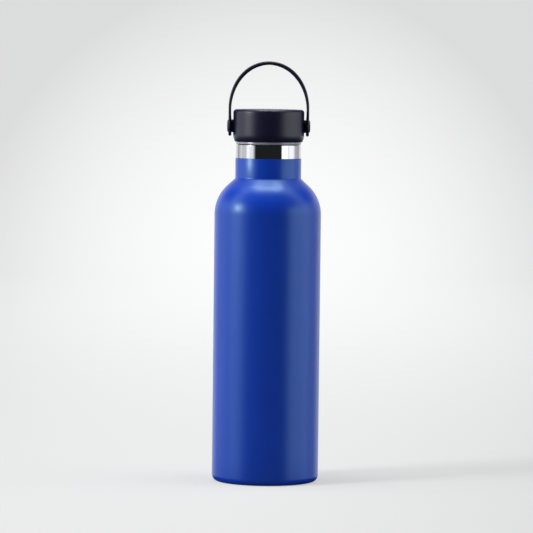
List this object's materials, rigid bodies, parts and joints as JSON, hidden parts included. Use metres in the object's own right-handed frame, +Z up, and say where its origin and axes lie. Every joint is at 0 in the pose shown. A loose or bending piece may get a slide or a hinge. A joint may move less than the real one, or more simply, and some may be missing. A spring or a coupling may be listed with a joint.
{
  "type": "water bottle",
  "caption": "Vacuum insulated steel bottle with a threaded neck, a screw cap and a carry strap that swings on the cap.",
  "frame": {"origin": "centre of the foot ring, on the surface that the bottle stands on", "axes": "+Z up the bottle's axis towards the cap, X along the strap's pivot axis, Y across it"},
  "size_m": [0.073, 0.073, 0.288],
  "materials": {
    "powder_coat_blue": "satin powder coat",
    "polished_steel": "polished bare stainless steel",
    "brushed_steel": "drawn bare stainless steel",
    "copper_foil": "bright copper foil",
    "sealing_glass": "fused solder glass",
    "getter_alloy": "sintered metal powder",
    "cap_black": "satin moulded polypropylene",
    "strap_black": "satin moulded flexible band",
    "liner_grey": "natural grey moulded plastic",
    "silicone": "translucent silicone",
    "foam": "foamed plastic"
  },
  "bodies": {
    "bottle": {"outer_shell": "powder_coat_blue", "neck_finish": "polished_steel", "inner_vessel": "brushed_steel", "inner_bottom": "brushed_steel", "radiation_foil": "copper_foil", "outer_bottom": "brushed_steel", "vacuum_seal": "sealing_glass", "getter": "getter_alloy", "getter_holder": "brushed_steel", "base_plate": "brushed_steel"},
    "seal": {"cap_gasket": "silicone"},
    "cap": {"cap_shell": "cap_black", "cap_liner": "liner_grey", "cap_insulation": "foam", "cap_plug_cover": "liner_grey", "pivot_pin_left": "polished_steel", "pivot_pin_right": "polished_steel", "pivot_button_left": "cap_black", "pivot_button_right": "cap_black"},
    "strap": {"strap": "strap_black"}
  },
  "joints": [
    {"name": "cap_lift", "type": "slide", "parent": "bottle", "child": "seal", "axis": [0, 0, 1], "range_m": [0, 0.0121]},
    {"name": "cap_turn", "type": "hinge", "parent": "seal", "child": "cap", "pos_m": [0, 0, 0.2437], "axis": [0, 0, 1], "range_deg": [0, 1080]},
    {"name": "strap_swing", "type": "hinge", "parent": "cap", "child": "strap", "pos_m": [0, 0, 0.2437], "axis": [1, 0, 0], "range_deg": [-130, 130]}
  ],
  "couplings": [
    {"joint": "cap_lift", "follows": "cap_turn", "m_per_rad": 0.00063662}
  ]
}
